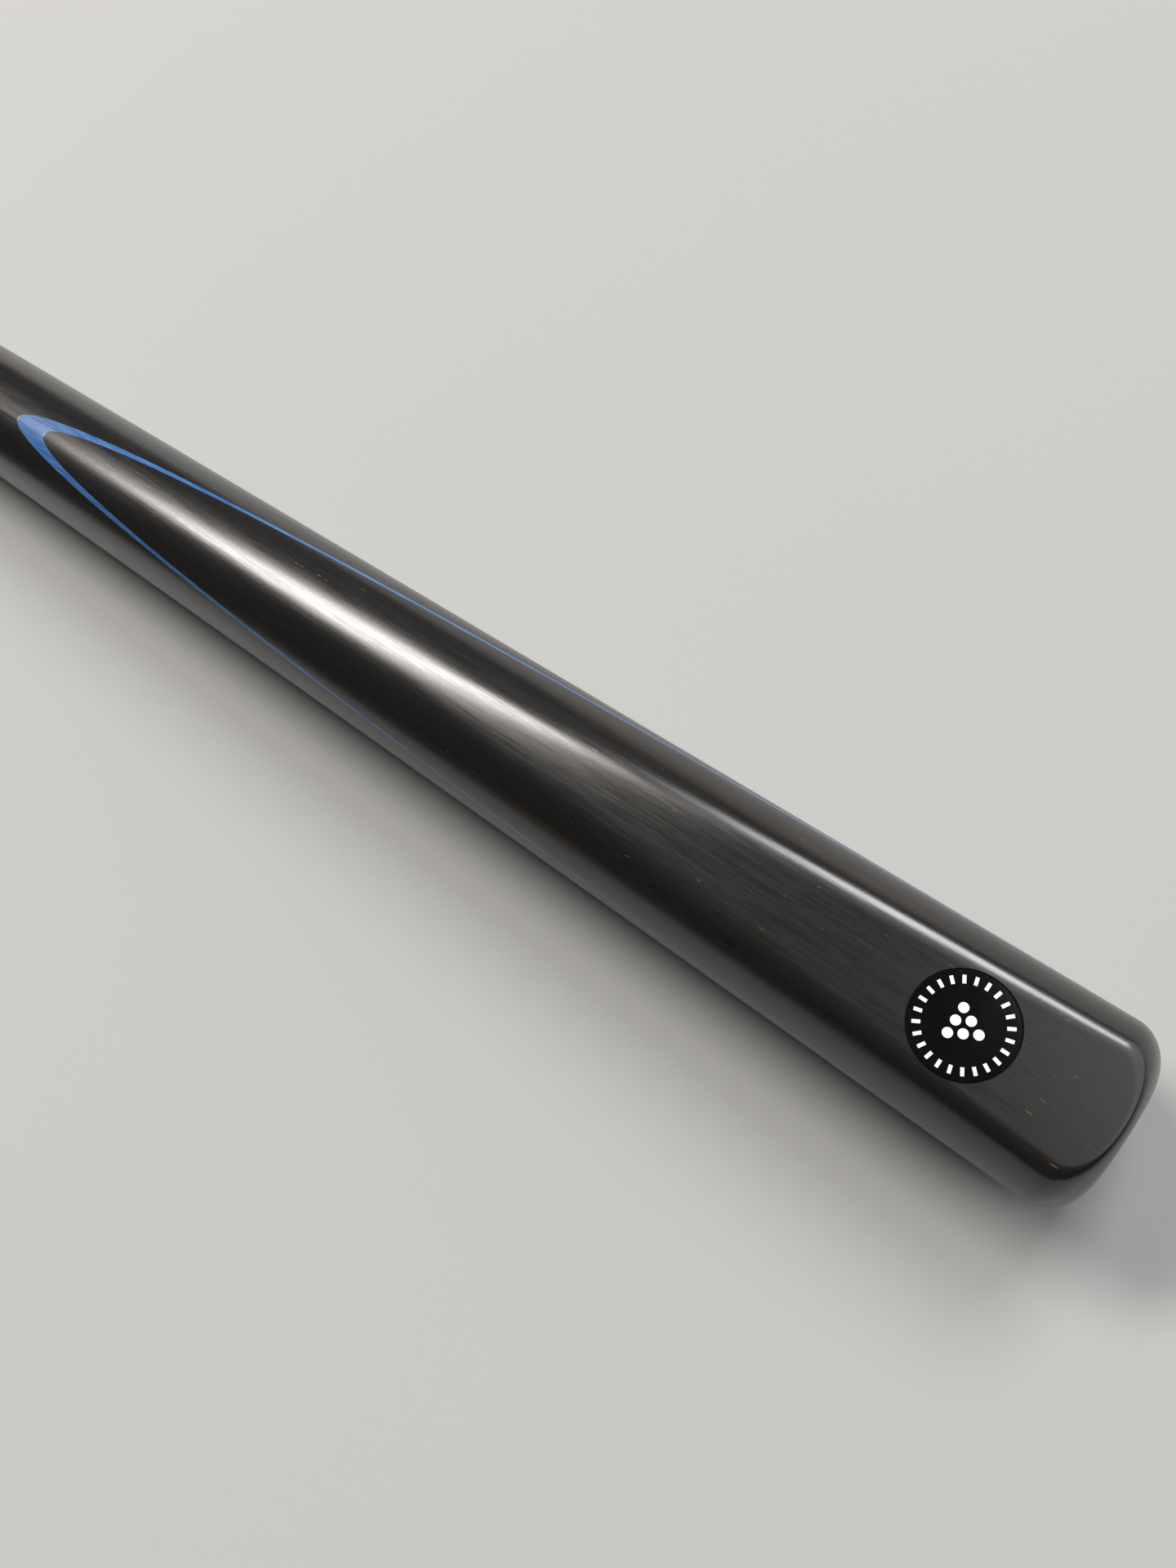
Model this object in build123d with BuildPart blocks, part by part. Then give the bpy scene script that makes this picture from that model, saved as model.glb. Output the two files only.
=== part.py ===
"""Three-quarter jointed snooker cue, modelled lying along +X.

The origin is the centre of the butt's end face. +X runs along the cue to the tip and +Z points
out through the badge on the hand-cut flat. Lengths are in millimetres.

The butt is built as a hand-spliced one is: a square tapering ash core, four ebony splices glued
on in two opposite pairs, and a front splice glued over them on a blue veneer. All of it is turned
to one taper, then the flat is planed and the badge let into it.
"""

import math
import os

from build123d import *
from build123d.topology import SkipClean

os.makedirs("parts", exist_ok=True)

# ---- overall form -------------------------------------------------------------------------
cue_len = 1473.0            # 58 in from butt face to the crown of the tip
butt_r = 14.5               # radius of the taper carried back to the butt face
tip_r = 4.75                # 9.5 mm tip
taper = (butt_r - tip_r) / cue_len
end_round_x = 6.0           # the butt's end is rounded over this length ...
end_round_r = 8.0           # ... and this depth
joint_x = 420.0             # plane where the butt and the shaft meet

# ---- splices ------------------------------------------------------------------------------
core_half = 2.5             # half width of the square core, carried back to the butt face
core_slope = 0.023          # growth of that half width along the cue
front_face = 2.29           # height of the front splice's glued face over the axis at x = 0
front_slope = 0.0449        # rise of that face along the cue
front_roll = -2.26          # the face is turned this far about X from the flat, in degrees
veneer_t = 0.5
point_blunt = 0.02          # each splice's point ends where it has thinned to this

# ---- flat and badge -----------------------------------------------------------------------
flat_height = 10.66         # height of the flat over the axis at x = 0
flat_slope = 0.0315
badge_x = 23.6
badge_r = 7.5
badge_t = 1.6
badge_bevel = 0.15          # broken edge round the badge's face
recess_depth = 1.6
mark_depth = 0.4
tick_ring_r = 6.1
tick_count = 24
tick_size = (0.5, 1.15)
dot_r = 0.72
dot_pitch = 2.0
dot_rows = 3

# ---- extension socket and weight in the butt ------------------------------------------------
socket_r = 6.4
socket_len = 26.0
socket_bore_r = 4.25
socket_bore_len = 22.0
weight_r = 4.0
weight_len = 100.0
glue_gap = 0.05             # radial room for glue round every round part let into wood

# ---- joint --------------------------------------------------------------------------------
collar_t = 2.0
collar_shank_r = 6.5
collar_shank_len = 24.0
pin_root_r = 4.5
pin_root_len = 20.0
pin_core_r = 4.4
pin_len = 22.0
pin_nose = 1.2
thread_height = 0.6
thread_base = 1.3
thread_crest = 0.7
thread_clear = 0.2
thread_lead = 7.5
thread_starts = 3
thread_from = 3.0
thread_to = 19.0
thread_run_out = 2.5        # how much further the groove runs than the ridges, at each end
collar_bore_r = 5.6
insert_r = 7.0
insert_len = 27.0
insert_bore_len = 24.0

# ---- ferrule and tip ------------------------------------------------------------------------
ferrule_len = 9.0
ferrule_bore_r = 4.0
tip_len = 5.0
tip_crown = 1.3

ferrule_x = cue_len - tip_len - ferrule_len
weight_x = socket_len
weight_end_x = weight_x + weight_len


def cue_radius(x):
    """Radius of the turned taper at x."""
    return butt_r - taper * x


def glue_plane(height, slope, turn):
    """Plane that stands height over the axis at x = 0, rises by slope along +X and faces
    outwards. turn carries it about the X axis, in degrees: 0 faces +Z and 90 faces -Y."""
    c = math.cos(math.radians(turn))
    s = math.sin(math.radians(turn))
    return Plane(
        origin=(0, -s * height, c * height),
        x_dir=(1, -s * slope, c * slope),
        z_dir=(-slope, -s, c),
    )


def point_x(height, slope):
    """Where a splice lying on a glued face of this height and slope has thinned to its point."""
    return (butt_r - height - point_blunt) / (taper + slope)


def crest_edge(part, turn):
    """The same solid with an edge along its crest, which runs into the point, so that its curved
    face is made of two halves. turn is the direction it faces, as in glue_plane."""
    c = math.cos(math.radians(turn))
    s = math.sin(math.radians(turn))
    middle = Plane(origin=(0, 0, 0), x_dir=(1, 0, 0), z_dir=(0, c, s))
    with SkipClean():
        return part.split(middle, keep=Keep.TOP).fuse(part.split(middle, keep=Keep.BOTTOM))


def save(part, name):
    """Label a finished piece and write it."""
    part.label = name
    export_step(part, f"parts/{name}.step")


# ---- the turned butt, before it is divided into its pieces ------------------------------------
butt_end_x = joint_x - collar_t

with BuildPart() as butt_blank:
    with BuildSketch(Plane.XY):
        with BuildLine():
            Line((0, 0), (0, cue_radius(end_round_x) - end_round_r))
            EllipticalCenterArc(
                (end_round_x, cue_radius(end_round_x) - end_round_r),
                end_round_x, end_round_r, start_angle=90, arc_size=90,
            )
            Polyline(
                (end_round_x, cue_radius(end_round_x)),
                (butt_end_x, cue_radius(butt_end_x)),
                (butt_end_x, 0),
                (0, 0),
            )
        make_face()
    revolve(axis=Axis.X)
    # bores for the extension socket, the weight and the joint collar's shank
    with Locations(Plane.YZ):
        Cylinder(socket_r + glue_gap, socket_len, align=(Align.CENTER, Align.CENTER, Align.MIN),
                 mode=Mode.SUBTRACT)
    with Locations(Plane.YZ.offset(weight_x)):
        Cylinder(weight_r + glue_gap, weight_len, align=(Align.CENTER, Align.CENTER, Align.MIN),
                 mode=Mode.SUBTRACT)
    with Locations(Plane.YZ.offset(joint_x - collar_shank_len)):
        Cylinder(collar_shank_r + glue_gap, collar_shank_len,
                 align=(Align.CENTER, Align.CENTER, Align.MIN), mode=Mode.SUBTRACT)

front_top = glue_plane(front_face, front_slope, front_roll)
front_bottom = glue_plane(front_face - veneer_t, front_slope, front_roll)
top_face = glue_plane(core_half, core_slope, 0)
bottom_face = glue_plane(core_half, core_slope, 180)
right_face = glue_plane(core_half, core_slope, 90)      # faces -Y
left_face = glue_plane(core_half, core_slope, -90)      # faces +Y

# ---- wood of the butt -------------------------------------------------------------------------
with BuildPart() as butt_core:
    add(butt_blank.part)
    for face in (top_face, bottom_face, right_face, left_face, front_bottom):
        split(bisect_by=face, keep=Keep.BOTTOM)
save(butt_core.part, "butt_core")

# the side pair was glued first, so the faces of the second pair cut across it
core_point = Plane.YZ.offset(point_x(core_half, core_slope))

for name, own_face, turn in (("splice_left", left_face, -90), ("splice_right", right_face, 90)):
    with BuildPart() as side_splice:
        add(butt_blank.part)
        split(bisect_by=own_face, keep=Keep.TOP)
        for face in (top_face, bottom_face, front_bottom, core_point):
            split(bisect_by=face, keep=Keep.BOTTOM)
    save(crest_edge(side_splice.part, turn), name)

with BuildPart() as splice_bottom:
    add(butt_blank.part)
    split(bisect_by=bottom_face, keep=Keep.TOP)
    split(bisect_by=front_bottom, keep=Keep.BOTTOM)
    split(bisect_by=core_point, keep=Keep.BOTTOM)
save(crest_edge(splice_bottom.part, 180), "splice_bottom")

with BuildPart() as splice_top:
    add(butt_blank.part)
    split(bisect_by=top_face, keep=Keep.TOP)
    split(bisect_by=front_bottom, keep=Keep.BOTTOM)
    split(bisect_by=core_point, keep=Keep.BOTTOM)
save(crest_edge(splice_top.part, 0), "splice_top")

with BuildPart() as front_veneer:
    add(butt_blank.part)
    split(bisect_by=front_bottom, keep=Keep.TOP)
    split(bisect_by=front_top, keep=Keep.BOTTOM)
    split(bisect_by=Plane.YZ.offset(point_x(front_face - veneer_t, front_slope)), keep=Keep.BOTTOM)
save(crest_edge(front_veneer.part, front_roll), "front_veneer")

flat_plane = glue_plane(flat_height, flat_slope, 0)
badge_plane = Plane(
    origin=(badge_x, 0, flat_height + flat_slope * badge_x),
    x_dir=(1, 0, flat_slope),
    z_dir=(-flat_slope, 0, 1),
)

with BuildPart() as front_splice:
    add(butt_blank.part)
    split(bisect_by=front_top, keep=Keep.TOP)
    split(bisect_by=flat_plane, keep=Keep.BOTTOM)
    with BuildSketch(badge_plane):
        Circle(badge_r)
    extrude(amount=-recess_depth, mode=Mode.SUBTRACT)
    split(bisect_by=Plane.YZ.offset(point_x(front_face, front_slope)), keep=Keep.BOTTOM)
save(crest_edge(front_splice.part, front_roll), "front_splice")


# ---- badge --------------------------------------------------------------------------------
def mark_sketch():
    """Ring of ticks round a triangle of dots, drawn on the badge's face."""
    with BuildSketch(badge_plane) as marks:
        with PolarLocations(tick_ring_r, tick_count):
            Rectangle(tick_size[1], tick_size[0])
        for row in range(dot_rows):
            row_x = (row - (dot_rows - 1) * 2 / 3) * dot_pitch * math.sqrt(3) / 2
            for column in range(row + 1):
                with Locations((row_x, (column - row / 2) * dot_pitch)):
                    Circle(dot_r)
    return marks.sketch


with BuildPart() as badge_disc:
    with BuildSketch(badge_plane):
        Circle(badge_r)
    extrude(amount=-badge_t)
    chamfer(edges().sort_by(Axis.Z)[-1], badge_bevel)
    extrude(mark_sketch(), amount=-mark_depth, mode=Mode.SUBTRACT)
save(badge_disc.part, "badge_disc")

with BuildPart() as badge_marks:
    extrude(mark_sketch(), amount=-mark_depth)
save(badge_marks.part, "badge_marks")

# ---- metalwork inside the butt ----------------------------------------------------------------
with BuildPart() as extension_socket:
    with Locations(Plane.YZ):
        Cylinder(socket_r, socket_len, align=(Align.CENTER, Align.CENTER, Align.MIN))
        Cylinder(socket_bore_r, socket_bore_len, align=(Align.CENTER, Align.CENTER, Align.MIN),
                 mode=Mode.SUBTRACT)
save(extension_socket.part, "extension_socket")

with BuildPart() as balance_weight:
    with Locations(Plane.YZ.offset(weight_x)):
        Cylinder(weight_r, weight_len, align=(Align.CENTER, Align.CENTER, Align.MIN))
save(balance_weight.part, "balance_weight")

with BuildPart() as butt_collar:
    with BuildSketch(Plane.XY):
        with BuildLine():
            Polyline(
                (joint_x - collar_shank_len, pin_root_r + glue_gap),
                (joint_x - collar_shank_len, collar_shank_r),
                (butt_end_x, collar_shank_r),
                (butt_end_x, cue_radius(butt_end_x)),
                (joint_x, cue_radius(joint_x)),
                (joint_x, pin_root_r + glue_gap),
                close=True,
            )
        make_face()
    revolve(axis=Axis.X)
save(butt_collar.part, "butt_collar")


# ---- screw joint --------------------------------------------------------------------------
def thread_ridges(root_r, start_x, end_x, grow):
    """Helical ridges of the joint's thread, standing on a cylinder of radius root_r. grow makes
    each side of a ridge that much larger, which turns the ridges into the cutter of the
    running groove."""
    sink = 0.2
    half_base = thread_base / 2 + grow
    half_crest = thread_crest / 2 + grow
    with BuildPart() as ridge:
        with BuildLine():
            Helix(thread_lead, end_x - start_x, root_r, center=(start_x, 0, 0), direction=(1, 0, 0))
        path = ridge.pending_edges[0]
        with BuildSketch(Plane(origin=path @ 0, x_dir=(1, 0, 0), z_dir=path % 0)):
            with BuildLine():
                Polyline(
                    (-half_base, -sink), (-half_base, 0),
                    (-half_crest, thread_height), (half_crest, thread_height),
                    (half_base, 0), (half_base, -sink),
                    close=True,
                )
            make_face()
        sweep(path=path, is_frenet=True)
    return [ridge.part.rotate(Axis.X, 360 * start / thread_starts) for start in range(thread_starts)]


with BuildPart() as joint_pin:
    with BuildSketch(Plane.XY):
        with BuildLine():
            Polyline(
                (joint_x - pin_root_len, 0),
                (joint_x - pin_root_len, pin_root_r),
                (joint_x, pin_root_r),
                (joint_x, pin_core_r),
                (joint_x + pin_len - pin_nose, pin_core_r),
                (joint_x + pin_len, pin_core_r - pin_nose),
                (joint_x + pin_len, 0),
                close=True,
            )
        make_face()
    revolve(axis=Axis.X)
    for ridge in thread_ridges(pin_core_r, joint_x + thread_from, joint_x + thread_to, 0):
        add(ridge)
save(joint_pin.part, "joint_pin")

# The ring at the shaft's end is a body of its own: it draws off with the shaft, and the shaft
# turns against it. Being a body of revolution, it looks the same however the shaft is turned.
ring_end_x = joint_x + collar_t

with BuildPart() as shaft_collar:
    with BuildSketch(Plane.XY):
        with BuildLine():
            Polyline(
                (joint_x, collar_bore_r),
                (joint_x, cue_radius(joint_x)),
                (ring_end_x, cue_radius(ring_end_x)),
                (ring_end_x, collar_bore_r),
                close=True,
            )
        make_face()
    revolve(axis=Axis.X)
save(shaft_collar.part, "shaft_collar")

with BuildPart() as shaft_insert:
    with Locations(Plane.YZ.offset(ring_end_x)):
        Cylinder(insert_r, insert_len, align=(Align.CENTER, Align.CENTER, Align.MIN))
        Cylinder(pin_core_r + thread_clear, insert_bore_len,
                 align=(Align.CENTER, Align.CENTER, Align.MIN), mode=Mode.SUBTRACT)
    groove_start_x = joint_x + thread_from - thread_run_out
    for ridge in thread_ridges(
        pin_core_r + thread_clear, groove_start_x, joint_x + thread_to + thread_run_out, thread_clear
    ):
        add(ridge, mode=Mode.SUBTRACT)
save(shaft_insert.part, "shaft_insert")

# ---- shaft --------------------------------------------------------------------------------
with BuildPart() as shaft:
    with BuildSketch(Plane.XY):
        with BuildLine():
            Polyline(
                (ring_end_x + insert_len, 0),
                (ring_end_x + insert_len, insert_r + glue_gap),
                (ring_end_x, insert_r + glue_gap),
                (ring_end_x, cue_radius(ring_end_x)),
                (ferrule_x, cue_radius(ferrule_x)),
                (ferrule_x, ferrule_bore_r - glue_gap),
                (cue_len - tip_len, ferrule_bore_r - glue_gap),
                (cue_len - tip_len, 0),
                close=True,
            )
        make_face()
    revolve(axis=Axis.X)
save(shaft.part, "shaft")

with BuildPart() as ferrule:
    with BuildSketch(Plane.XY):
        with BuildLine():
            Polyline(
                (ferrule_x, ferrule_bore_r),
                (ferrule_x, cue_radius(ferrule_x)),
                (cue_len - tip_len, cue_radius(cue_len - tip_len)),
                (cue_len - tip_len, ferrule_bore_r),
                close=True,
            )
        make_face()
    revolve(axis=Axis.X)
save(ferrule.part, "ferrule")

crown_edge_x = cue_len - tip_crown
crown_edge_r = cue_radius(crown_edge_x)
crown_sphere_r = (crown_edge_r**2 + tip_crown**2) / (2 * tip_crown)
crown_angle = math.degrees(math.asin(crown_edge_r / crown_sphere_r))

with BuildPart() as tip:
    with BuildSketch(Plane.XY):
        with BuildLine():
            CenterArc((cue_len - crown_sphere_r, 0), crown_sphere_r, 0, crown_angle)
            Polyline(
                (crown_edge_x, crown_edge_r),
                (cue_len - tip_len, cue_radius(cue_len - tip_len)),
                (cue_len - tip_len, 0),
                (cue_len, 0),
            )
        make_face()
    revolve(axis=Axis.X)
save(tip.part, "tip")
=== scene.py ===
"""Looks of the three-quarter jointed snooker cue: finished meshes, materials, studio and camera.

Everything is in the CAD frame: the origin is the centre of the butt's end face, +X runs to the tip
and +Z points out through the badge. Shapes are worked out in millimetres and turned into metres
when their mesh is made; what Blender is given directly is multiplied by MM.
"""

import math

import bmesh
import bpy
import numpy as np
from mathutils import Matrix, Vector


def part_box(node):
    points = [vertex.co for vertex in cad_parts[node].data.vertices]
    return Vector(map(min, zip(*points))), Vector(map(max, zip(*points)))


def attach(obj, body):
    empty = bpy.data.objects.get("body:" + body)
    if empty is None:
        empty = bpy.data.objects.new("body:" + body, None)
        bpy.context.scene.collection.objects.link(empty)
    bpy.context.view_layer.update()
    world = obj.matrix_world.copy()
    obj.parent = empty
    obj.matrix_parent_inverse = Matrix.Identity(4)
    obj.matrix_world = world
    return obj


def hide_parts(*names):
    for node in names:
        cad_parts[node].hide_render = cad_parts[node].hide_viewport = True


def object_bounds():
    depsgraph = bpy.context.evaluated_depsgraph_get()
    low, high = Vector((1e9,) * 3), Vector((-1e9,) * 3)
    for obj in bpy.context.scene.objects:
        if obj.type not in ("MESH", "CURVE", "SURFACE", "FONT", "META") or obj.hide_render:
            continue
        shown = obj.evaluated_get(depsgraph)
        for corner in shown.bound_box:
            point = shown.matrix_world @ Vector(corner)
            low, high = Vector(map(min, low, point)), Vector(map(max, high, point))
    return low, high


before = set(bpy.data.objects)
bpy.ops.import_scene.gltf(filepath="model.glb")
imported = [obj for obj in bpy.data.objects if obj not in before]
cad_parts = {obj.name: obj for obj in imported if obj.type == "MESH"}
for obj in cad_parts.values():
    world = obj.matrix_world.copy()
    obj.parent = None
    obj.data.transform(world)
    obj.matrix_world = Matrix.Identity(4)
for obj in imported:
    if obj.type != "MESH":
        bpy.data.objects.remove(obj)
cad_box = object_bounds()

MM = 0.001

# ---- driving dimensions, in millimetres ---------------------------------------------------------
CUE_LEN = cad_box[1][0] / MM
BUTT_R = 14.5                   # radius of the taper carried back to the butt's end face
TIP_R = 4.75
TAPER = (BUTT_R - TIP_R) / CUE_LEN
END_ROUND_X = 6.0               # length and depth of the rounding at the butt's end
END_ROUND_R = 8.0

CORE_FACE = (2.5, 0.023)        # glued face: height over the axis at x = 0, and rise along X
FRONT_FACE = (2.29, 0.0449)
FRONT_ROLL = -2.26              # turn of the front splice's face about X from the flat, in degrees
VENEER_T = 0.5
POINT_BLUNT = 0.02              # a splice's point ends where it has thinned to this

FLAT = (10.66, 0.0315)          # height over the axis at x = 0, and rise along X
FLAT_SOFTNESS = 1.1             # height over which the flat's edge is rubbed into the round
FLAT_END = 126                  # x by which the flat has run out

BADGE_R = 7.5
RECESS_DEPTH = 1.6
RECESS_BEVEL = 0.13             # broken edge of the wood round the badge
BEVEL = 0.12                    # broken edges of the turned metal
GLUE_GAP = 0.05


def start_of(node):
    """Lowest x of a CAD node, in millimetres."""
    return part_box(node)[0].x / MM


def end_of(node):
    """Highest x of a CAD node, in millimetres."""
    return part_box(node)[1].x / MM


def radius_of(node):
    """Largest radius of a CAD node about the cue's axis, in millimetres."""
    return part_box(node)[1].z / MM


JOINT_X = end_of("butt_collar")
SHANK_START = start_of("butt_collar")
SHANK_R = 6.5
RING_END = end_of("shaft_collar")
BUTT_WOOD_END = 2 * JOINT_X - RING_END      # both rings of the joint are equally thick
RING_BORE_R = 5.6
PIN_ROOT_R = 4.5
PIN_NOSE = 1.2
FERRULE_X = start_of("ferrule")
FERRULE_BORE_R = 4.0
TIP_X = start_of("tip")
TIP_CROWN = 1.3

# ---- threads ----------------------------------------------------------------------------------
THREAD = dict(core_r=4.4, height=0.6, base=1.3, crest=0.7, lead=7.5, starts=3)
THREAD_FROM = JOINT_X + 3.0
THREAD_TO = JOINT_X + 19.0
THREAD_CLEAR = 0.2
GROOVE_RUN_OUT = 2.5
RIDGE_RUN_OUT = 0.4             # length over which a ridge rises at its start and falls at its end
SOCKET_THREAD = dict(core_r=4.25, height=0.55, base=1.1, crest=0.3, lead=1.5, starts=1)
SOCKET_BORE_LEN = 22.0
SOCKET_MOUTH = 0.7              # countersink at the socket's mouth
SOCKET_THREAD_END = SOCKET_BORE_LEN - 2.0
INSERT_BORE_LEN = 24.0

# ---- fineness of the meshes ---------------------------------------------------------------------
AROUND = 240                    # divisions round the butt
TURNED_AROUND = 144             # divisions round the turned pieces
RECESS_AROUND = 192             # divisions round the badge's recess
END_RINGS = 25                  # rings over the butt's rounded end
FLAT_STEP = 1.5                 # ring spacing along the flat, in millimetres
TAPER_STEP = 4.0                # ring spacing along the rest of the butt
SHAFT_RINGS = 60
CROWN_RINGS = 15
THREAD_STEP = 0.125             # ring spacing along the joint's thread
SOCKET_THREAD_STEP = 0.1
SHARP_ANGLE = 32                # edges sharper than this many degrees stay sharp on turned pieces


def cue_radius(x):
    """Radius of the turned taper at x."""
    return BUTT_R - TAPER * x


# ---- making objects -----------------------------------------------------------------------------
def finish_piece(mesh, name, body, material):
    """Put a finished mesh in the scene in place of the CAD node of the same name."""
    piece = bpy.data.objects.new(name + "_look", mesh)
    bpy.context.scene.collection.objects.link(piece)
    mesh.materials.clear()
    mesh.materials.append(material)
    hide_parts(name)
    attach(piece, body)


def angles(count):
    """Even angles about the axis, from +Z towards +Y."""
    return np.arange(count) * 2 * math.pi / count


def rings_mesh(name, rings, wrap=False):
    """Closed mesh through a row of rings. A ring of one point is a pole on the axis; with wrap the
    last ring joins the first, for a tube."""
    firsts = np.cumsum([0] + [len(ring) for ring in rings])
    count = max(len(ring) for ring in rings)
    faces = []
    pairs = list(zip(range(len(rings) - 1), range(1, len(rings))))
    if wrap:
        pairs.append((len(rings) - 1, 0))
    for a, b in pairs:
        for i in range(count):
            j = (i + 1) % count
            low = [firsts[a] + i, firsts[a] + j] if len(rings[a]) > 1 else [firsts[a]]
            high = [firsts[b] + j, firsts[b] + i] if len(rings[b]) > 1 else [firsts[b]]
            faces.append([int(v) for v in low + high])
    mesh = bpy.data.meshes.new(name)
    mesh.from_pydata(np.concatenate(rings).tolist(), [], faces)
    return mesh


def turned_piece(name, body, material, profile, wrap=False):
    """Piece turned about the cue's axis. profile is a row of (x, radius); a radius may be an array
    with one value for each angle, as it is along a thread."""
    theta = angles(TURNED_AROUND)
    rings = []
    for x, radius in profile:
        if np.isscalar(radius) and radius == 0:
            rings.append(np.array([[x, 0.0, 0.0]]))
        else:
            r = np.broadcast_to(radius, theta.shape)
            along = np.full(TURNED_AROUND, float(x))
            rings.append(np.stack([along, r * np.sin(theta), r * np.cos(theta)], -1))
    mesh = rings_mesh(name, rings, wrap)
    mesh.transform(Matrix.Scale(MM, 4))
    bm = bmesh.new()
    bm.from_mesh(mesh)
    bmesh.ops.recalc_face_normals(bm, faces=bm.faces[:])
    bm.to_mesh(mesh)
    bm.free()
    mesh.shade_smooth()
    mesh.set_sharp_from_angle(angle=math.radians(SHARP_ANGLE))
    finish_piece(mesh, name, body, material)


# ---- surface of the butt -----------------------------------------------------------------------
def butt_skin(s, theta):
    """Points of the butt's finished surface. s runs over the rounded end from 0 to 1, and then
    along the taper in millimetres."""
    quarter = np.clip(s, 0, 1) * math.pi / 2
    along = np.clip(s - 1, 0, None)
    x = END_ROUND_X * (1 - np.cos(quarter)) + along
    r = cue_radius(END_ROUND_X) - END_ROUND_R * (1 - np.sin(quarter)) - TAPER * along
    y = r * np.sin(theta)
    z = r * np.cos(theta)
    flat = FLAT[0] + FLAT[1] * x
    share = np.clip(0.5 + 0.5 * (flat - z) / FLAT_SOFTNESS, 0, 1)   # of the round, against the flat
    z = flat + (z - flat) * share - FLAT_SOFTNESS * share * (1 - share)
    return np.stack(np.broadcast_arrays(x, y, z), -1)


def skin_normal(s, theta):
    """Outward unit normals of butt_skin."""
    step = 1e-3
    along = butt_skin(s + step, theta) - butt_skin(np.maximum(s - step, 0), theta)
    across = butt_skin(s, theta + step) - butt_skin(s, theta - step)
    normal = np.cross(along, across)
    return normal / np.linalg.norm(normal, axis=-1, keepdims=True)


def skin_stations():
    """Values of s with a ring of the butt's mesh, closer together where the shape changes."""
    rounded = np.linspace(0, 1, END_RINGS)
    stretches = ((END_ROUND_X, FLAT_END, FLAT_STEP), (FLAT_END, BUTT_WOOD_END, TAPER_STEP))
    taper = [x for start, stop, step in stretches for x in np.arange(start, stop, step)]
    return np.concatenate([rounded, np.array(taper[1:] + [BUTT_WOOD_END]) - END_ROUND_X + 1])


def butt_blank():
    """The whole turned butt with its flat and its bores, as a bmesh in millimetres. Faces of the
    finished surface carry skin = 1, and a UV of (s, angle) from which their normals are worked
    out once the butt is cut into its pieces."""
    theta = angles(AROUND)
    stations = skin_stations()
    mouth_bevel = 0.1

    def bore_ring(x, r):
        return np.stack([np.full(AROUND, x), r * np.sin(theta), r * np.cos(theta)], -1)

    socket_end = end_of("extension_socket")
    socket_bore = radius_of("extension_socket") + GLUE_GAP
    weight_end = end_of("balance_weight")
    weight_bore = radius_of("balance_weight") + GLUE_GAP
    shank_bore = SHANK_R + GLUE_GAP
    inner = [
        np.array([[weight_end, 0, 0]]),
        bore_ring(weight_end, weight_bore),
        bore_ring(socket_end, weight_bore),
        bore_ring(socket_end, socket_bore),
        bore_ring(mouth_bevel, socket_bore),
    ]
    skin = [butt_skin(s, theta) for s in stations]
    joint_end = [
        bore_ring(BUTT_WOOD_END, shank_bore),
        bore_ring(SHANK_START, shank_bore),
        np.array([[SHANK_START, 0, 0]]),
    ]
    mesh = rings_mesh("butt_blank", inner + skin + joint_end)
    bm = bmesh.new()
    bm.from_mesh(mesh)
    bpy.data.meshes.remove(mesh)
    bm.faces.ensure_lookup_table()
    marks = bm.faces.layers.int.new("skin")
    uv = bm.loops.layers.uv.new("skin_place")
    first_band = len(inner) * AROUND
    for band in range(len(stations) - 1):
        for i in range(AROUND):
            face = bm.faces[first_band + band * AROUND + i]
            face[marks] = 1
            corners = ((band, i), (band, i + 1), (band + 1, i + 1), (band + 1, i))
            for loop, (row, column) in zip(face.loops, corners):
                loop[uv].uv = (stations[row], column * 2 * math.pi / AROUND)
    bmesh.ops.recalc_face_normals(bm, faces=bm.faces[:])
    return bm


def glue_plane(height, slope, turn):
    """Point on and outward normal of a glued face, which stands height over the axis at x = 0 and
    rises by slope along +X. turn carries it about X, in degrees: 0 faces +Z and 90 faces -Y."""
    c = math.cos(math.radians(turn))
    s = math.sin(math.radians(turn))
    return Vector((0, -s * height, c * height)), Vector((-slope, -s, c)).normalized()


def point_plane(height, slope):
    """Plane across the cue where a splice on this glued face has thinned to its point."""
    return Vector(((BUTT_R - height - POINT_BLUNT) / (TAPER + slope), 0, 0)), Vector((1, 0, 0))


def cut_away(bm, point, normal):
    """Remove what lies on the normal's side of a plane, and close the mesh there."""
    bmesh.ops.bisect_plane(
        bm, geom=bm.verts[:] + bm.edges[:] + bm.faces[:], dist=1e-5,
        plane_co=point, plane_no=normal, clear_outer=True,
    )
    rim = [e for e in bm.edges if e.is_boundary]
    bmesh.ops.triangle_fill(bm, use_beauty=True, use_dissolve=False, edges=rim, normal=normal)


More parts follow.
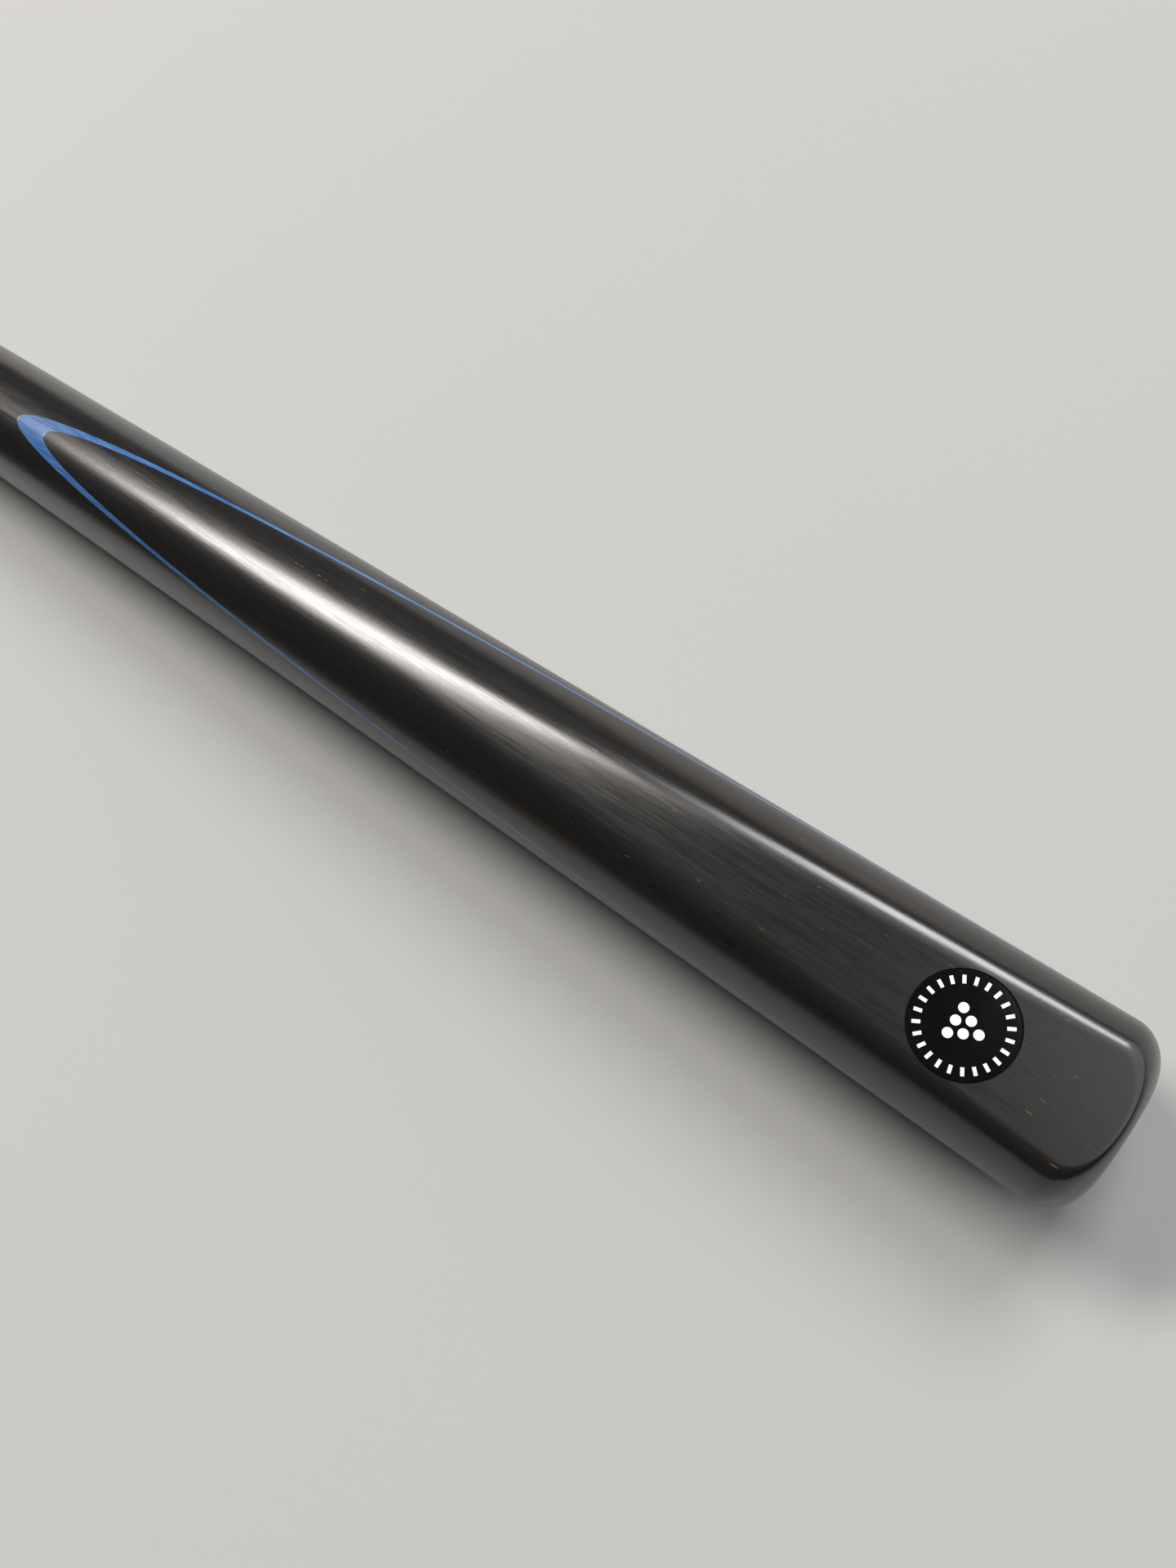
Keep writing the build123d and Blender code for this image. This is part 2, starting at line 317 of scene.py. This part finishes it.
def cut_recess(mesh):
    """Cut the badge's recess into the front splice, with a broken edge, and return the new mesh."""
    low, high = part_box("badge_disc")
    tilt = math.atan(FLAT[1])
    centre_x = (low.x + high.x) / 2 / MM - math.sin(tilt) * RECESS_DEPTH / 2
    on_flat = Matrix.Translation((centre_x, 0, FLAT[0] + FLAT[1] * centre_x))
    on_flat = on_flat @ Matrix.Rotation(-tilt, 4, "Y")
    above = 1.5                 # the cutter stands this far out of the flat
    profile = [
        (-RECESS_DEPTH, 0), (-RECESS_DEPTH, BADGE_R), (-RECESS_BEVEL, BADGE_R),
        (above, BADGE_R + RECESS_BEVEL + above), (above, 0),
    ]
    theta = angles(RECESS_AROUND)
    rings = []
    for height, r in profile:
        if r == 0:
            rings.append(np.array([[0, 0, height]]))
        else:
            level = np.full(RECESS_AROUND, height)
            rings.append(np.stack([r * np.cos(theta), r * np.sin(theta), level], -1))
    cutter_mesh = rings_mesh("recess_cutter", rings)
    cutter_mesh.transform(on_flat)
    bm = bmesh.new()
    bm.from_mesh(cutter_mesh)
    bmesh.ops.recalc_face_normals(bm, faces=bm.faces[:])
    bm.to_mesh(cutter_mesh)
    bm.free()
    cutter = bpy.data.objects.new("recess_cutter", cutter_mesh)
    target = bpy.data.objects.new("recess_target", mesh)
    for o in (cutter, target):
        bpy.context.scene.collection.objects.link(o)
    boolean = target.modifiers.new("recess", "BOOLEAN")
    boolean.operation = "DIFFERENCE"
    boolean.solver = "EXACT"
    boolean.object = cutter
    result = bpy.data.meshes.new_from_object(
        target.evaluated_get(bpy.context.evaluated_depsgraph_get())
    )
    for o in (cutter, target):
        bpy.data.objects.remove(o)
    return result


def wood_piece(name, material, blank, above=(), below=(), end=None, recess=False):
    """Piece of the butt's wood: what lies above some planes and below others, as far as end."""
    bm = blank.copy()
    for point, normal in above:
        cut_away(bm, point, -normal)
    for point, normal in below:
        cut_away(bm, point, normal)
    if end:
        cut_away(bm, *end)
    mesh = bpy.data.meshes.new(name)
    bm.to_mesh(mesh)
    bm.free()
    if recess:
        mesh = cut_recess(mesh)

    corner_count = len(mesh.loops)
    is_skin = np.zeros(len(mesh.polygons), np.int32)
    mesh.attributes["skin"].data.foreach_get("value", is_skin)
    corners = np.zeros(len(mesh.polygons), np.int32)
    mesh.polygons.foreach_get("loop_total", corners)
    face_normals = np.zeros(len(mesh.polygons) * 3, np.float32)
    mesh.polygons.foreach_get("normal", face_normals)
    place = np.zeros(corner_count * 2, np.float32)
    mesh.uv_layers["skin_place"].data.foreach_get("uv", place)
    place = place.reshape(-1, 2).astype(float)
    on_skin = np.repeat(is_skin, corners) == 1
    normals = np.repeat(face_normals.reshape(-1, 3), corners, axis=0).astype(float)
    normals[on_skin] = skin_normal(place[on_skin, 0], place[on_skin, 1])
    mesh.attributes.remove(mesh.attributes["skin"])
    mesh.uv_layers.remove(mesh.uv_layers["skin_place"])
    mesh.transform(Matrix.Scale(MM, 4))
    mesh.shade_smooth()
    mesh.normals_split_custom_set(normals.tolist())
    finish_piece(mesh, name, "butt", material)


# ---- threads -----------------------------------------------------------------------------------
def thread_radius(x, thread, start, stop, grow=0.0):
    """Radii round the axis at x of a right-hand helical ridge on a core, or, with grow, of the
    groove that it runs in."""
    turn = -angles(TURNED_AROUND) / (2 * math.pi)           # angles() runs left-handed about +X
    pitch = thread["lead"] / thread["starts"]
    off_crest = np.abs(((x - turn * thread["lead"]) / pitch + 0.5) % 1 - 0.5) * pitch
    half_base = thread["base"] / 2 + grow
    half_crest = thread["crest"] / 2 + grow
    share = np.clip((half_base - off_crest) / (half_base - half_crest), 0, 1)
    fade = np.clip(min(x - start, stop - x) / RIDGE_RUN_OUT, 0, 1)
    return thread["core_r"] + grow + thread["height"] * share * fade


# ---- node helpers -----------------------------------------------------------------------------
def add_node(tree, kind, inputs=None, **properties):
    """Add a shader node, set its properties, and link or set its inputs."""
    added = tree.nodes.new(kind)
    for key, value in properties.items():
        setattr(added, key, value)
    for key, value in (inputs or {}).items():
        if isinstance(value, bpy.types.NodeSocket):
            tree.links.new(value, added.inputs[key])
        else:
            added.inputs[key].default_value = value
    return added


def new_material(name, **sockets):
    """Material with a Principled shader, and its node tree and shader."""
    material = bpy.data.materials.new(name)
    material.use_nodes = True
    tree = material.node_tree
    shader = tree.nodes["Principled BSDF"]
    for key, value in sockets.items():
        shader.inputs[key.replace("_", " ")].default_value = value
    return material, tree, shader


def stretched(tree, per_metre):
    """Object coordinates multiplied by per_metre along X, Y and Z."""
    place = add_node(tree, "ShaderNodeTexCoord").outputs["Object"]
    return add_node(tree, "ShaderNodeMapping", {"Vector": place, "Scale": per_metre}).outputs[0]


def noise(tree, per_metre, detail=3.0, roughness=0.55, distortion=0.0):
    """Noise from 0 to 1 with its own density along each axis."""
    inputs = {"Vector": stretched(tree, per_metre), "Scale": 1.0, "Detail": detail,
              "Roughness": roughness, "Distortion": distortion}
    return add_node(tree, "ShaderNodeTexNoise", inputs).outputs["Fac"]


def spread(tree, value, low, high, to_low=0.0, to_high=1.0):
    """Value from low..high carried to to_low..to_high, and held there beyond."""
    inputs = {"Value": value, "From Min": low, "From Max": high, "To Min": to_low, "To Max": to_high}
    return add_node(tree, "ShaderNodeMapRange", inputs).outputs["Result"]


def math_node(tree, operation, a, b=0.0):
    """Result of one arithmetic operation."""
    return add_node(tree, "ShaderNodeMath", {0: a, 1: b}, operation=operation).outputs[0]


def blend_colors(tree, share, a, b):
    """Colour a going to b as share goes to 1."""
    mix = add_node(tree, "ShaderNodeMix", {"Factor": share}, data_type="RGBA")
    for socket, value in (("A_Color", a), ("B_Color", b)):
        found = [s for s in mix.inputs if s.identifier == socket][0]
        if isinstance(value, bpy.types.NodeSocket):
            tree.links.new(value, found)
        else:
            found.default_value = (*value, 1.0)
    return [s for s in mix.outputs if s.identifier == "Result_Color"][0]


def bump(tree, shader, height, depth_mm, after=None):
    """Bump the shader's normal by height, which is depth_mm deep from 0 to 1."""
    inputs = {"Height": height, "Distance": depth_mm * MM, "Strength": 1.0}
    if after:
        inputs["Normal"] = after
    normal = add_node(tree, "ShaderNodeBump", inputs).outputs["Normal"]
    tree.links.new(normal, shader.inputs["Normal"])
    return normal


# ---- materials --------------------------------------------------------------------------------
def ebony_material():
    """Oiled satin ebony: near black, with brown streaks along the grain, closed pores, fine fibres
    that break up the gloss, and a few light flecks."""
    material, tree, shader = new_material("ebony", IOR=1.6)
    streaks = noise(tree, (14, 420, 420), detail=6, roughness=0.6, distortion=0.3)
    bands = noise(tree, (5, 110, 110), detail=2)
    pores = noise(tree, (330, 7000, 7000), detail=2, roughness=0.5)
    fibre = noise(tree, (90, 1900, 1900), detail=4, roughness=0.65)
    hair = noise(tree, (160, 4600, 4600), detail=3, roughness=0.6)
    brown = math_node(tree, "MULTIPLY", spread(tree, streaks, 0.5, 0.75), spread(tree, bands, 0.45, 0.7))
    wood = blend_colors(tree, brown, (0.0100, 0.0092, 0.0082), (0.030, 0.020, 0.013))
    open_pores = spread(tree, pores, 0.60, 0.72)
    wood = blend_colors(tree, open_pores, wood, (0.0030, 0.0027, 0.0024))
    flecks = spread(tree, noise(tree, (330, 4600, 4600), detail=1), 0.785, 0.81)
    wood = blend_colors(tree, flecks, wood, (0.17, 0.12, 0.08))
    tree.links.new(wood, shader.inputs["Base Color"])
    satin = spread(tree, streaks, 0.3, 0.7, 0.22, 0.26)
    satin = math_node(tree, "ADD", satin, spread(tree, fibre, 0.3, 0.7, -0.04, 0.04))
    tree.links.new(satin, shader.inputs["Roughness"])
    soft = bump(tree, shader, fibre, 0.0025)
    soft = bump(tree, shader, hair, 0.007, after=soft)
    bump(tree, shader, math_node(tree, "SUBTRACT", 1.0, open_pores), 0.002, after=soft)
    return material


def ash_material():
    """Oiled ash: growth rings that the taper cuts into long arrows, with open brown pores."""
    material, tree, shader = new_material("ash", IOR=1.5)
    ring_spacing = 2.3 * MM
    place = add_node(tree, "ShaderNodeTexCoord").outputs["Object"]
    across_rings = (0.026, 0.34, 0.94)
    leaning = add_node(tree, "ShaderNodeVectorMath", {0: place, 1: across_rings}, operation="DOT_PRODUCT")
    rings = math_node(tree, "DIVIDE", leaning.outputs["Value"], ring_spacing)
    wander = spread(tree, noise(tree, (7, 90, 90), detail=3, roughness=0.5), 0, 1, -0.55, 0.55)
    fray = spread(tree, noise(tree, (60, 1500, 1500), detail=2), 0, 1, -0.07, 0.07)
    rings = math_node(tree, "ADD", math_node(tree, "ADD", rings, wander), fray)
    year = math_node(tree, "FRACT", rings)
    ramp = add_node(tree, "ShaderNodeValToRGB", {"Fac": year})
    steps = ramp.color_ramp.elements
    steps[0].position = 0.0
    steps[0].color = (1, 1, 1, 1)
    steps[1].position = 1.0
    steps[1].color = (0.45, 0.45, 0.45, 1)
    for position, grey in ((0.13, 0.75), (0.34, 0.16), (0.62, 0.0), (0.9, 0.1)):
        step = steps.new(position)
        step.color = (grey, grey, grey, 1)
    early = ramp.outputs["Color"]
    warm = noise(tree, (9, 70, 70), detail=3)
    pale = blend_colors(tree, warm, (0.46, 0.305, 0.155), (0.53, 0.36, 0.195))
    wood = blend_colors(tree, math_node(tree, "MULTIPLY", early, 0.62), pale, (0.33, 0.175, 0.075))
    pores = spread(tree, noise(tree, (190, 5600, 5600), detail=1.5, roughness=0.5), 0.56, 0.66)
    open_pores = math_node(tree, "MULTIPLY", pores, spread(tree, early, 0.05, 0.7, 0.12, 1.0))
    wood = blend_colors(tree, math_node(tree, "MULTIPLY", open_pores, 0.75), wood, (0.15, 0.07, 0.028))
    tree.links.new(wood, shader.inputs["Base Color"])
    satin = spread(tree, noise(tree, (120, 2200, 2200), detail=3), 0.3, 0.7, 0.32, 0.44)
    tree.links.new(satin, shader.inputs["Roughness"])
    bump(tree, shader, math_node(tree, "SUBTRACT", 1.0, open_pores), 0.014)
    return material


def veneer_material():
    """Dyed blue veneer: the dye has taken unevenly along the fibres."""
    material, tree, shader = new_material("blue_veneer", IOR=1.5)
    fibre = noise(tree, (130, 3800, 3800), detail=3, roughness=0.6)
    patches = noise(tree, (60, 300, 300), detail=2)
    dye = blend_colors(tree, spread(tree, fibre, 0.3, 0.7), (0.020, 0.075, 0.200), (0.062, 0.175, 0.400))
    dye = blend_colors(tree, spread(tree, patches, 0.4, 0.8, 0, 0.5), dye, (0.012, 0.048, 0.140))
    tree.links.new(dye, shader.inputs["Base Color"])
    tree.links.new(spread(tree, fibre, 0.3, 0.7, 0.24, 0.33), shader.inputs["Roughness"])
    bump(tree, shader, fibre, 0.003)
    return material


def brass_material():
    """Turned brass: fine tool rings round the axis, a lightly handled polish and faint tarnish."""
    material, tree, shader = new_material("brass", Metallic=1.0)
    tool_rings = noise(tree, (14000, 40, 40), detail=2, roughness=0.6)
    handled = noise(tree, (300, 300, 300), detail=4, roughness=0.6)
    metal = blend_colors(tree, spread(tree, handled, 0.35, 0.75), (0.80, 0.60, 0.30), (0.66, 0.45, 0.19))
    tree.links.new(metal, shader.inputs["Base Color"])
    polish = math_node(tree, "ADD", spread(tree, tool_rings, 0.3, 0.7, 0.17, 0.27),
                       spread(tree, handled, 0.3, 0.8, 0.0, 0.1))
    tree.links.new(polish, shader.inputs["Roughness"])
    bump(tree, shader, tool_rings, 0.003)
    return material


def steel_material():
    """Drawn steel rod of the balance weight, with lines along its length."""
    material, tree, shader = new_material("weight_steel", Metallic=1.0)
    drawn = noise(tree, (30, 4000, 4000), detail=3)
    metal = blend_colors(tree, drawn, (0.40, 0.41, 0.43), (0.52, 0.53, 0.55))
    tree.links.new(metal, shader.inputs["Base Color"])
    tree.links.new(spread(tree, drawn, 0.3, 0.7, 0.30, 0.42), shader.inputs["Roughness"])
    bump(tree, shader, drawn, 0.004)
    return material


def badge_black_material():
    """Black disc, more polished than the wood, with hairline handling marks."""
    material, tree, shader = new_material("badge_black", IOR=1.48)
    cloud = noise(tree, (160, 160, 160), detail=3)
    hairlines = noise(tree, (2600, 240, 900), detail=3, distortion=0.4)
    tone = blend_colors(tree, cloud, (0.0022, 0.0023, 0.0024), (0.0045, 0.0046, 0.0046))
    tree.links.new(tone, shader.inputs["Base Color"])
    gloss = math_node(tree, "ADD", spread(tree, cloud, 0.3, 0.7, 0.06, 0.09),
                      spread(tree, hairlines, 0.55, 0.8, 0.0, 0.04))
    tree.links.new(gloss, shader.inputs["Roughness"])
    bump(tree, shader, hairlines, 0.0008)
    return material


def badge_white_material():
    """White filling of the badge's marks, very slightly mottled."""
    material, tree, shader = new_material("badge_white", IOR=1.48)
    mottle = noise(tree, (900, 900, 900), detail=3)
    tone = blend_colors(tree, mottle, (0.80, 0.81, 0.82), (0.90, 0.90, 0.90))
    tree.links.new(tone, shader.inputs["Base Color"])
    tree.links.new(spread(tree, mottle, 0.3, 0.7, 0.32, 0.45), shader.inputs["Roughness"])
    bump(tree, shader, mottle, 0.003)
    return material


def leather_material():
    """Pressed leather tip, rough from the file, with chalk worked into it."""
    material, tree, shader = new_material("tip_leather", IOR=1.45)
    place = stretched(tree, (2600, 2600, 2600))
    grain = add_node(tree, "ShaderNodeTexVoronoi", {"Vector": place, "Scale": 1.0})
    fuzz = noise(tree, (5200, 5200, 5200), detail=3)
    chalk = spread(tree, noise(tree, (900, 900, 900), detail=4, roughness=0.65), 0.45, 0.7)
    hide = blend_colors(tree, fuzz, (0.035, 0.10, 0.13), (0.06, 0.16, 0.20))
    hide = blend_colors(tree, math_node(tree, "MULTIPLY", chalk, 0.6), hide, (0.13, 0.38, 0.46))
    tree.links.new(hide, shader.inputs["Base Color"])
    tree.links.new(spread(tree, chalk, 0, 1, 0.72, 0.95), shader.inputs["Roughness"])
    soft = bump(tree, shader, fuzz, 0.03)
    bump(tree, shader, grain.outputs["Distance"], 0.03, after=soft)
    return material


def floor_material():
    """Plain pale matt floor."""
    material, tree, shader = new_material("floor", Roughness=0.85)
    cloud = noise(tree, (3, 3, 3), detail=2)
    tone = blend_colors(tree, cloud, (0.375, 0.375, 0.37), (0.39, 0.39, 0.385))
    tree.links.new(tone, shader.inputs["Base Color"])
    return material


ebony = ebony_material()
ash = ash_material()
brass = brass_material()

# ---- wood of the butt ---------------------------------------------------------------------------
blank = butt_blank()
top_face = glue_plane(*CORE_FACE, 0)
bottom_face = glue_plane(*CORE_FACE, 180)
right_face = glue_plane(*CORE_FACE, 90)
left_face = glue_plane(*CORE_FACE, -90)
front_top = glue_plane(*FRONT_FACE, FRONT_ROLL)
front_bottom = glue_plane(FRONT_FACE[0] - VENEER_T, FRONT_FACE[1], FRONT_ROLL)
core_point = point_plane(*CORE_FACE)

wood_piece("butt_core", ash, blank,
           below=(top_face, bottom_face, right_face, left_face, front_bottom))
wood_piece("splice_left", ebony, blank,
           above=(left_face,), below=(top_face, bottom_face, front_bottom), end=core_point)
wood_piece("splice_right", ebony, blank,
           above=(right_face,), below=(top_face, bottom_face, front_bottom), end=core_point)
wood_piece("splice_bottom", ebony, blank,
           above=(bottom_face,), below=(front_bottom,), end=core_point)
wood_piece("splice_top", ebony, blank,
           above=(top_face,), below=(front_bottom,), end=core_point)
wood_piece("front_veneer", veneer_material(), blank,
           above=(front_bottom,), below=(front_top,),
           end=point_plane(FRONT_FACE[0] - VENEER_T, FRONT_FACE[1]))
wood_piece("front_splice", ebony, blank,
           above=(front_top,), end=point_plane(*FRONT_FACE), recess=True)
blank.free()

# ---- metalwork --------------------------------------------------------------------------------
socket_r = radius_of("extension_socket")
socket_end = end_of("extension_socket")
socket_core = SOCKET_THREAD["core_r"]
turned_piece(
    "extension_socket", "butt", brass,
    [(SOCKET_BORE_LEN, 0), (SOCKET_BORE_LEN, socket_core)]
    + [(x, thread_radius(x, SOCKET_THREAD, SOCKET_MOUTH, SOCKET_THREAD_END))
       for x in np.arange(SOCKET_THREAD_END, SOCKET_MOUTH, -SOCKET_THREAD_STEP)]
    + [(SOCKET_MOUTH, socket_core), (0, socket_core + SOCKET_MOUTH), (0, socket_r - BEVEL),
       (BEVEL, socket_r), (socket_end - BEVEL, socket_r), (socket_end, socket_r - BEVEL),
       (socket_end, 0)],
)

turned_piece(
    "butt_collar", "butt", brass,
    [(SHANK_START, PIN_ROOT_R + GLUE_GAP), (SHANK_START, SHANK_R - BEVEL), (SHANK_START + BEVEL, SHANK_R),
     (BUTT_WOOD_END, SHANK_R), (BUTT_WOOD_END, cue_radius(BUTT_WOOD_END) - BEVEL / 2),
     (BUTT_WOOD_END + BEVEL / 2, cue_radius(BUTT_WOOD_END)),
     (JOINT_X - BEVEL, cue_radius(JOINT_X - BEVEL)),
     (JOINT_X, cue_radius(JOINT_X) - BEVEL), (JOINT_X, PIN_ROOT_R + GLUE_GAP)],
    wrap=True,
)

pin_start = start_of("joint_pin")
pin_end = end_of("joint_pin")
turned_piece(
    "joint_pin", "butt", brass,
    [(pin_start, 0), (pin_start, PIN_ROOT_R - BEVEL), (pin_start + BEVEL, PIN_ROOT_R),
     (JOINT_X, PIN_ROOT_R), (JOINT_X, THREAD["core_r"])]
    + [(x, thread_radius(x, THREAD, THREAD_FROM, THREAD_TO))
       for x in np.arange(THREAD_FROM, THREAD_TO + 0.05, THREAD_STEP)]
    + [(pin_end - PIN_NOSE, THREAD["core_r"]), (pin_end, THREAD["core_r"] - PIN_NOSE), (pin_end, 0)],
)

turned_piece(
    "shaft_collar", "shaft_ring", brass,
    [(JOINT_X, RING_BORE_R), (JOINT_X, cue_radius(JOINT_X) - BEVEL),
     (JOINT_X + BEVEL, cue_radius(JOINT_X + BEVEL)),
     (RING_END - BEVEL / 2, cue_radius(RING_END)), (RING_END, cue_radius(RING_END) - BEVEL / 2),
     (RING_END, RING_BORE_R)],
    wrap=True,
)

insert_r = radius_of("shaft_insert")
insert_end = end_of("shaft_insert")
insert_bore_end = RING_END + INSERT_BORE_LEN
groove_start = THREAD_FROM - GROOVE_RUN_OUT
groove_end = THREAD_TO + GROOVE_RUN_OUT
groove_core = THREAD["core_r"] + THREAD_CLEAR
turned_piece(
    "shaft_insert", "shaft", brass,
    [(insert_end, 0), (insert_end, insert_r - BEVEL), (insert_end - BEVEL, insert_r),
     (RING_END + BEVEL, insert_r), (RING_END, insert_r - BEVEL)]
    + [(x, thread_radius(x, THREAD, groove_start, groove_end, grow=THREAD_CLEAR))
       for x in np.arange(RING_END, groove_end, THREAD_STEP)]
    + [(groove_end, groove_core), (insert_bore_end, groove_core), (insert_bore_end, 0)],
)

# ---- shaft --------------------------------------------------------------------------------------
shaft_rings = np.linspace(RING_END, FERRULE_X, SHAFT_RINGS)
turned_piece(
    "shaft", "shaft", ash,
    [(insert_end, 0), (insert_end, insert_r + GLUE_GAP), (RING_END, insert_r + GLUE_GAP)]
    + [(x, cue_radius(x)) for x in shaft_rings]
    + [(FERRULE_X, FERRULE_BORE_R - GLUE_GAP), (TIP_X, FERRULE_BORE_R - GLUE_GAP), (TIP_X, 0)],
)

turned_piece(
    "ferrule", "shaft", brass,
    [(FERRULE_X, FERRULE_BORE_R), (FERRULE_X, cue_radius(FERRULE_X) - BEVEL / 2),
     (FERRULE_X + BEVEL / 2, cue_radius(FERRULE_X)), (TIP_X - BEVEL / 2, cue_radius(TIP_X)),
     (TIP_X, cue_radius(TIP_X) - BEVEL / 2), (TIP_X, FERRULE_BORE_R)],
    wrap=True,
)

crown_x = CUE_LEN - TIP_CROWN
crown_r = cue_radius(crown_x)
crown_sphere_r = (crown_r**2 + TIP_CROWN**2) / (2 * TIP_CROWN)
crown_angles = np.linspace(math.asin(crown_r / crown_sphere_r), 0, CROWN_RINGS)
turned_piece(
    "tip", "shaft", leather_material(),
    [(TIP_X, 0), (TIP_X, cue_radius(TIP_X) - BEVEL / 2), (TIP_X + BEVEL / 2, cue_radius(TIP_X))]
    + [(CUE_LEN - crown_sphere_r * (1 - math.cos(a)), crown_sphere_r * math.sin(a))
       for a in crown_angles],
)

# ---- CAD nodes shown as they are ------------------------------------------------------------------
for node_name, node_material in (
    ("badge_disc", badge_black_material()),
    ("badge_marks", badge_white_material()),
    ("balance_weight", steel_material()),
):
    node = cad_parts[node_name]
    node.data.materials.clear()
    node.data.materials.append(node_material)

# ---- floor --------------------------------------------------------------------------------------
# The cue lies on its tapered side, so in the CAD frame the floor leans by the taper's angle.
FLOOR_HALF = 60.0               # in metres
corners = ((-1, -1), (1, -1), (1, 1), (-1, 1))
floor_mesh = bpy.data.meshes.new("floor")
floor_mesh.from_pydata(
    [(x * FLOOR_HALF, y * FLOOR_HALF, -BUTT_R * MM + TAPER * x * FLOOR_HALF) for x, y in corners],
    [], [(0, 1, 2, 3)],
)
floor = bpy.data.objects.new("floor", floor_mesh)
bpy.context.scene.collection.objects.link(floor)
floor_mesh.materials.append(floor_material())


# ---- light --------------------------------------------------------------------------------------
def aim(direction, along):
    """Rotation that points a light's -Z along direction, with its X as near along as it can be."""
    back = -Vector(direction).normalized()
    side = Vector(along) - back * back.dot(Vector(along))
    side.normalize()
    return Matrix((side, back.cross(side), back)).transposed().to_4x4()


def add_light(name, kind, place, rotation, **settings):
    """Add one light to the scene."""
    data = bpy.data.lights.new(name, kind)
    for key, value in settings.items():
        setattr(data, key, value)
    light = bpy.data.objects.new(name, data)
    light.matrix_world = Matrix.Translation(place) @ rotation
    bpy.context.scene.collection.objects.link(light)


# A long soft panel, hung beyond the tip and turned to the butt, gives the broad streak along the
# butt. Two soft distant lights reach the whole cue and the floor evenly, and the side light gives
# most of the bright line along the flat's edge.
along_cue = (1, 0, 0)
panel_at = (1.99, -0.66, 2.35)
panel_to_butt = (-1.87, 0.66, -2.35)
panel_along = (0.45, 0.78, -0.16)
suns_at = (0, 0, 2)
add_light("panel", "AREA", panel_at, aim(panel_to_butt, panel_along),
          shape="RECTANGLE", size=1.75, size_y=0.62, energy=92, color=(1.0, 0.955, 0.91))
add_light("side_light", "SUN", suns_at, aim((-0.13, 1.03, -1.0), along_cue), energy=1.85, angle=0.42)
add_light("fill_light", "SUN", suns_at, aim((0.62, 0.85, -1.0), along_cue), energy=1.9, angle=1.4)

# The studio round the cue lights it and shows in its reflections as nearly dark. Seen straight on
# it is a plain grey background.
STUDIO_LIGHT = 0.03
BACKGROUND_LIGHT = 0.42
world = bpy.data.worlds.new("studio")
world.use_nodes = True
tree = world.node_tree
background = tree.nodes["Background"]
background.inputs["Color"].default_value = (1.0, 1.0, 1.0, 1.0)
in_view = add_node(tree, "ShaderNodeLightPath").outputs["Is Camera Ray"]
strength = spread(tree, in_view, 0.0, 1.0, STUDIO_LIGHT, BACKGROUND_LIGHT)
tree.links.new(strength, background.inputs["Strength"])
bpy.context.scene.world = world
bpy.context.scene.view_settings.view_transform = "Standard"

# ---- camera -------------------------------------------------------------------------------------
camera_at = Vector((11.3, 14.8, 178.1)) * MM
camera_aim = Vector((89.7, 0.03, 10.1)) * MM
camera_up = Vector((0.4919, -0.8169, 0.3012))
back = (camera_at - camera_aim).normalized()
right = camera_up.cross(back).normalized()
camera_data = bpy.data.cameras.new("camera")
camera_data.lens = 27.06
camera_data.clip_start = 0.005
camera_data.clip_end = 50
camera = bpy.data.objects.new("camera", camera_data)
turned = Matrix((right, back.cross(right), back)).transposed().to_4x4()
camera.matrix_world = Matrix.Translation(camera_at) @ turned
bpy.context.scene.collection.objects.link(camera)
bpy.context.scene.camera = camera
